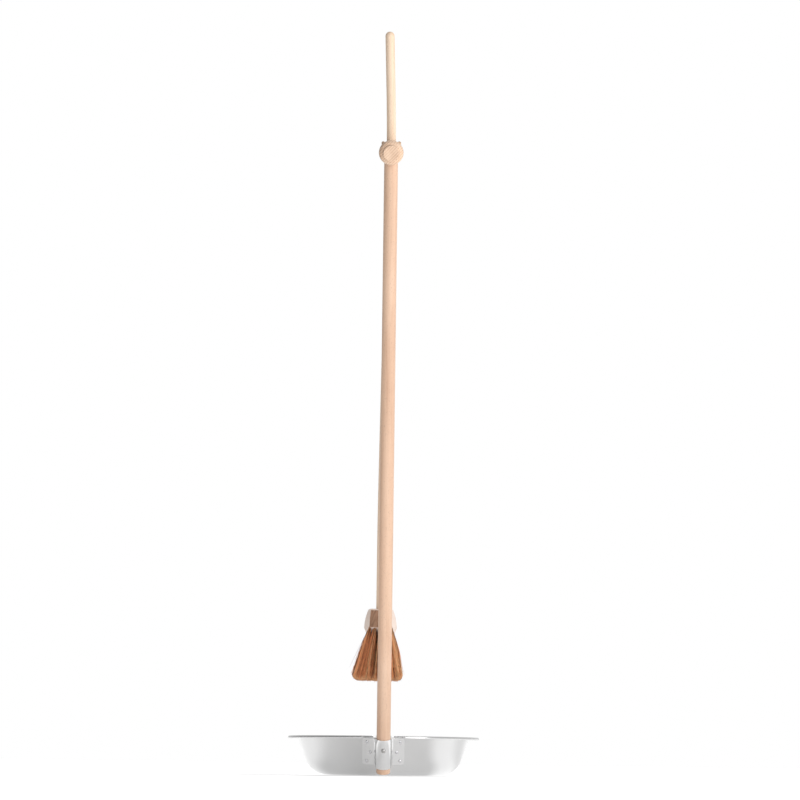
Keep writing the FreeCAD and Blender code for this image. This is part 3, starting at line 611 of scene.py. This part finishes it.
def make_block():
    """Boat-shaped block: swelling sides, flat top, chamfered underside and eased edges."""
    drop_selection()
    middle = Vector((HEAD_X, BLOCK_NEAR_Y + BLOCK_LENGTH / 2, BLOCK_BOTTOM + BLOCK_HEIGHT / 2))
    bpy.ops.mesh.primitive_cube_add(size=1.0, location=middle)
    block = bpy.context.object
    block.scale = (2 * BLOCK_HALF_WIDTH, BLOCK_LENGTH, BLOCK_HEIGHT)
    settle(block)
    hold(block)
    edit_mode()
    rings = [BLOCK_LENGTH * step / 16 for step in range(1, 16)]
    rings += [BLOCK_END_CHAMFER, BLOCK_END_RUN]
    rings += [BLOCK_LENGTH - BLOCK_END_CHAMFER, BLOCK_LENGTH - BLOCK_END_RUN]
    for ring in rings:
        bpy.ops.mesh.select_all(action="SELECT")
        bpy.ops.mesh.bisect(plane_co=(0, BLOCK_NEAR_Y + ring, 0), plane_no=(0, 1, 0))
    levels = [BLOCK_KNEE + (BLOCK_HEIGHT - BLOCK_KNEE) * step / 6 for step in range(6)]
    for level in levels:
        bpy.ops.mesh.select_all(action="SELECT")
        bpy.ops.mesh.bisect(plane_co=(0, 0, BLOCK_BOTTOM + level), plane_no=(0, 0, 1))
    object_mode()
    for vertex in block.data.vertices:
        from_end = min(vertex.co.y - BLOCK_NEAR_Y, BLOCK_NEAR_Y + BLOCK_LENGTH - vertex.co.y)
        lowest = BLOCK_BOTTOM + BLOCK_END_RISE * max(0.0, 1.0 - from_end / BLOCK_END_RUN)
        highest = BLOCK_BOTTOM + BLOCK_HEIGHT - max(0.0, BLOCK_END_CHAMFER - from_end)
        vertex.co.z = min(highest, max(lowest, vertex.co.z))
        along = (vertex.co.y - middle.y) / (BLOCK_LENGTH / 2)
        plan = 1.0 - BLOCK_PLAN_TAPER * along * along
        height = vertex.co.z - BLOCK_BOTTOM
        if height < BLOCK_KNEE:
            section = BLOCK_FOOT_WIDTH + (1.0 - BLOCK_FOOT_WIDTH) * height / BLOCK_KNEE
        else:
            rise = (height - BLOCK_KNEE) / (BLOCK_HEIGHT - BLOCK_KNEE)
            section = 1.0 - BLOCK_TOP_TAPER * max(0.0, rise) ** 1.9
        half = BLOCK_HALF_WIDTH * min(section, plan * (0.5 + 0.5 * section))
        vertex.co.x = HEAD_X + math.copysign(half, vertex.co.x - HEAD_X)
    apply(block, "BEVEL", width=1.0 * MM, segments=3, limit_method="ANGLE",
          angle_limit=math.radians(30))
    drill_tuft_holes(block)
    settle(block, HEAD_MATRIX)
    smooth(block, 32)
    return finish(block, "beech_brush_block", BEECH_BLOCK, "brush", ["brush_block"])


def tuft_line(row_x, index):
    """Root and tip of one tuft in the level head."""
    pitch = (BLOCK_LENGTH - 2 * TUFT_FIRST_Y) / (TUFTS_PER_ROW - 1)
    root_y = BLOCK_NEAR_Y + TUFT_FIRST_Y + index * pitch
    drop = abs(row_x) / max(ROW_ROOTS)
    from_end = min(root_y - BLOCK_NEAR_Y, BLOCK_NEAR_Y + BLOCK_LENGTH - root_y)
    rise = BLOCK_END_RISE * max(0.0, 1.0 - from_end / BLOCK_END_RUN)
    middle_y = BLOCK_NEAR_Y + BLOCK_LENGTH / 2
    pull = 1.0 - ROW_END_PULL * ((root_y - middle_y) / (BLOCK_LENGTH / 2)) ** 2
    root = Vector((HEAD_X + row_x * pull * MM, root_y, BLOCK_BOTTOM + rise))
    tip = Vector((HEAD_X + row_x * ROW_TIP_FACTOR * MM + TUFT_LEAN_X, root_y + TUFT_LEAN_Y,
                  TUFT_TIP_HEIGHT + TUFT_OUTER_LIFT * drop ** 3))
    return root, tip


def drill_tuft_holes(block):
    """One drill for all holes, taken out of the block at once."""
    drills = []
    for row_x in ROW_ROOTS:
        for index in range(TUFTS_PER_ROW):
            root, tip = tuft_line(row_x, index)
            inward = (root - tip).normalized()
            drop_selection()
            bpy.ops.mesh.primitive_cylinder_add(vertices=14, radius=TUFT_HOLE_RADIUS, depth=20 * MM,
                                                location=root - inward * 1 * MM,
                                                rotation=inward.to_track_quat("Z", "Y").to_euler())
            drills.append(bpy.context.object)
    drop_selection()
    for drill in drills:
        drill.select_set(True)
    bpy.context.view_layer.objects.active = drills[0]
    bpy.ops.object.join()
    drill = bpy.context.object
    apply(block, "BOOLEAN", operation="DIFFERENCE", object=drill, solver="EXACT")
    bpy.data.objects.remove(drill, do_unlink=True)


def strand_template():
    """A three-sided hair one unit long, with rings at even heights and a blunt tip."""
    drop_selection()
    bpy.ops.mesh.primitive_cylinder_add(vertices=3, radius=1.0, depth=1.0, location=(0, 0, 0.5),
                                        end_fill_type="TRIFAN")
    strand = bpy.context.object
    settle(strand)
    hold(strand)
    edit_mode()
    for level in (0.25, 0.5, 0.75):
        bpy.ops.mesh.select_all(action="SELECT")
        bpy.ops.mesh.bisect(plane_co=(0, 0, level), plane_no=(0, 0, 1))
    bpy.ops.mesh.select_all(action="SELECT")
    bpy.ops.mesh.quads_convert_to_tris()
    object_mode()
    points = np.array([vertex.co[:] for vertex in strand.data.vertices])
    faces = [list(polygon.vertices) for polygon in strand.data.polygons]
    bpy.data.objects.remove(strand, do_unlink=True)
    return points, faces


def trimmed(end):
    """Sets a hair's end on the trimmed edge, which rises at the fan's two corners."""
    past = abs(end.x - HEAD_X - TUFT_LEAN_X) - FAN_FLAT_HALF_WIDTH
    end.z += FAN_CORNER_LIFT * max(0.0, past / FAN_CORNER_WIDTH) ** 2
    return end


def make_tuft_row(number, row_x, points, faces):
    """All the hairs of one row of tufts, in small clumps, each bent its own way, as one piece."""
    rng = random.Random(SEED + number)
    clumps_per_tuft, strands_per_clump = 10, 18
    all_points, all_faces, tones, places = [], [], [], []
    heights = points[:, 2]
    for index in range(TUFTS_PER_ROW):
        root, tip = tuft_line(row_x, index)
        tip.z = TUFT_TIP_HEIGHT
        for _ in range(clumps_per_tuft):
            angle = rng.uniform(0, 2 * math.pi)
            reach = math.sqrt(rng.random())
            aside, ahead = math.cos(angle) * reach, math.sin(angle) * reach
            outward = aside * row_x > 0 and abs(row_x) > 15
            clump_end = Vector((aside * (5.0 if outward else 9.5), ahead * 5.6, 0)) * MM
            clump_tone = rng.gauss(0.56, 0.32)
            clump_sway = Vector((rng.gauss(0, 1.6), rng.gauss(0, 1.2), 0)) * MM
            for _ in range(strands_per_clump):
                start = root + Vector((aside + rng.gauss(0, 0.3), ahead + rng.gauss(0, 0.3), 0)) * 1.9 * MM
                start.z += 6 * MM
                if index in (0, TUFTS_PER_ROW - 1):
                    toward_end = rng.uniform(0, 1) * (1 if index else -1)
                    start.y += toward_end * (TUFT_FIRST_Y - 0.8 * MM)
                    start.z += abs(toward_end) * 3.5 * MM
                end = tip + clump_end + Vector((rng.gauss(0, 1.0), rng.gauss(0, 1.0), 0)) * MM
                if rng.random() < 0.05:
                    end += Vector((rng.gauss(0, 2.6), rng.gauss(0, 2.0), rng.uniform(0, 9))) * MM
                end = trimmed(end)
                end.z += rng.gauss(0.0, 0.8) * MM
                sway = clump_sway + Vector((rng.gauss(0, 0.9), rng.gauss(0, 0.9), 0)) * MM
                thickness = rng.uniform(0.18, 0.30) * MM
                twist = rng.uniform(0, 2 * math.pi)
                line = (np.outer(1 - heights, start) + np.outer(heights, end)
                        + np.outer(np.sin(math.pi * heights), sway))
                taper = 1.0 - 0.4 * heights
                across = points[:, 0] * math.cos(twist) - points[:, 1] * math.sin(twist)
                deep = points[:, 0] * math.sin(twist) + points[:, 1] * math.cos(twist)
                line[:, 0] += across * thickness * taper
                line[:, 1] += deep * thickness * taper
                base = len(all_points)
                all_points.extend(line.tolist())
                all_faces.extend([[base + corner for corner in face] for face in faces])
                tone = min(1.0, max(0.0, clump_tone + rng.gauss(0, 0.15)))
                tones.extend([tone] * len(points))
                places.extend(heights.tolist())
    mesh = bpy.data.meshes.new("bristles")
    mesh.from_pydata(all_points, [], all_faces)
    mesh.attributes.new("strand_tone", "FLOAT", "POINT").data.foreach_set("value", tones)
    mesh.attributes.new("strand_place", "FLOAT", "POINT").data.foreach_set("value", places)
    row = bpy.data.objects.new("bristles", mesh)
    bpy.context.scene.collection.objects.link(row)
    settle(row, HEAD_MATRIX)
    hold(row)
    bpy.ops.object.shade_smooth()
    return finish(row, f"bristle_row_{number}", HAIR, "brush", [f"tufts_row_{number}"])


# ------------------------------------------------------------------ stage

ROOM_GAIN = 1.25
ROOM_LEVELS = ((0.0, 0.85), (0.13, 0.50), (0.22, 0.38), (0.30, 0.32), (0.42, 0.40), (0.50, 0.54),
               (0.58, 0.58), (0.66, 0.62), (0.75, 0.66), (0.85, 0.75), (1.0, 0.85))
FLOOR_LEVELS = ((0.0, 1.0), (0.20, 0.95), (0.27, 0.92), (0.34, 0.58), (0.45, 0.46), (0.52, 0.60),
                (0.62, 0.56), (0.66, 0.95), (0.72, 1.0), (0.79, 0.68), (0.90, 0.8), (1.0, 1.0))


def room_level(nodes, place, levels, gain):
    """Brightness by heading: dim on the left of the viewer, brightest on the right."""
    parts = nodes.split(place)
    turn = parts[0].heading(parts[1] * -1.0) + 0.5
    stops = [(at, rgb(level / gain, level / gain, level / gain)) for at, level in levels]
    return nodes.ramp(turn, *stops)


def make_room():
    """White wall behind the object, and a graded room round it that only lights and reflects."""
    world = bpy.data.worlds.new("bright_room")
    bpy.context.scene.world = world
    room = Nodes(world)
    heading = room.node("ShaderNodeTexCoord")["Generated"]
    level = room_level(room, heading, ROOM_LEVELS, ROOM_GAIN)
    seen = room.node("ShaderNodeLightPath")["Is Camera Ray"]
    white = 1.0 / ROOM_GAIN
    background = room.tree.nodes["Background"]
    background.inputs["Strength"].default_value = ROOM_GAIN
    room.tree.links.new(room.mix(seen, level, rgb(white, white, white)).socket, background.inputs["Color"])


def make_stage():
    """White glowing floor, and soft lamps from the right and the front."""
    drop_selection()
    bpy.ops.mesh.primitive_circle_add(vertices=96, radius=9.0, fill_type="NGON", location=(0, 2.0, -0.0004))
    floor = bpy.context.object
    settle(floor)
    floor.name = "floor"
    pale = Shader("pale_floor", Roughness=0.7, Specular_IOR_Level=0.1, Emission_Strength=0.95)
    space = pale.place()
    parts = pale.split(space)
    far = ((parts[0] * parts[0] + parts[1] * parts[1]) ** 0.5).fade(0.28, 0.5)
    glow = pale.mix(far, room_level(pale, space, FLOOR_LEVELS, 1.0), rgb(1, 1, 1))
    unseen = (parts[0] + parts[1] * 0.17 + 0.9).fade(-0.3, 0.0)
    pale.set(Base_Color=rgb(0.45, 0.45, 0.45), Emission_Color=pale.mix(unseen, rgb(0, 0, 0), glow))
    floor.data.materials.append(pale.material)

    def lamp(name, place, aim, size, power, colour=(1, 1, 1)):
        data = bpy.data.lights.new(name, "AREA")
        data.shape = "RECTANGLE"
        data.size, data.size_y = size
        data.energy = power
        data.color = colour
        thing = bpy.data.objects.new(name, data)
        bpy.context.scene.collection.objects.link(thing)
        thing.location = place
        thing.rotation_euler = (Vector(aim) - Vector(place)).to_track_quat("-Z", "Y").to_euler()

    lamp("right_window", (2.0, -2.4, 1.3), (0, -0.2, 0.5), (1.0, 2.2), 30.0, (1.0, 0.985, 0.97))
    lamp("front_fill", (0.5, -4.0, 0.9), (0, -0.3, 0.5), (1.0, 1.0), 13.0, (1.0, 0.985, 0.97))


def make_colour():
    bpy.context.scene.view_settings.view_transform = "Standard"


def make_camera():
    """Long lens near the floor, looking slightly up, turned and rolled a little as it was held."""
    data = bpy.data.cameras.new("view")
    data.sensor_width = 36.0
    data.lens = 36.0 * 2465.0 / 800.0
    data.clip_end = 40.0
    camera = bpy.data.objects.new("view", data)
    bpy.context.scene.collection.objects.link(camera)
    pitch = math.radians(8.32)
    yaw = math.radians(-0.282)
    roll = math.radians(0.71)
    camera.matrix_world = (Matrix.Translation((0, -4.25, 0.025)) @ Matrix.Rotation(yaw, 4, "Z")
                           @ Matrix.Rotation(math.pi / 2 + pitch, 4, "X") @ Matrix.Rotation(roll, 4, "Z"))
    bpy.context.scene.camera = camera


# ------------------------------------------------------------------ the set

make_pan()
machined("socket_bracket", "hat_bracket", BRACKET_METAL, "dustpan", 0.3 * MM)
machined("bracket_rivets", "dome_rivets", RIVET_METAL, "dustpan", 0.0, 50)
machined("socket_screw", "round_head_screw", SCREW_STEEL, "dustpan", 0.0, 50)
make_pan_stick()

make_knob()
machined("holder_clip", "turned_clip", CLIP_WOOD, "holder", 0.5 * MM)
machined("thrust_washers", "spindle_washers", SCREW_STEEL, "holder", 0.15 * MM)
machined("spindle", "beech_spindle", CLIP_WOOD, "holder", 0.3 * MM)
machined("knob_pin", "knob_cross_pin", SCREW_STEEL, "holder", 0.1 * MM)

make_brush_stick()
machined("hanging_pin", "hanging_cross_pin", SCREW_STEEL, "brush", 0.2 * MM)
machined("block_screw", "block_wood_screw", SCREW_STEEL, "brush")
machined("tuft_staples", "tuft_wire_staples", SCREW_STEEL, "brush")
make_block()
hair_points, hair_faces = strand_template()
for row_number, row_root in enumerate(ROW_ROOTS, 1):
    make_tuft_row(row_number, row_root, hair_points, hair_faces)

make_room()
make_stage()
make_colour()
make_camera()
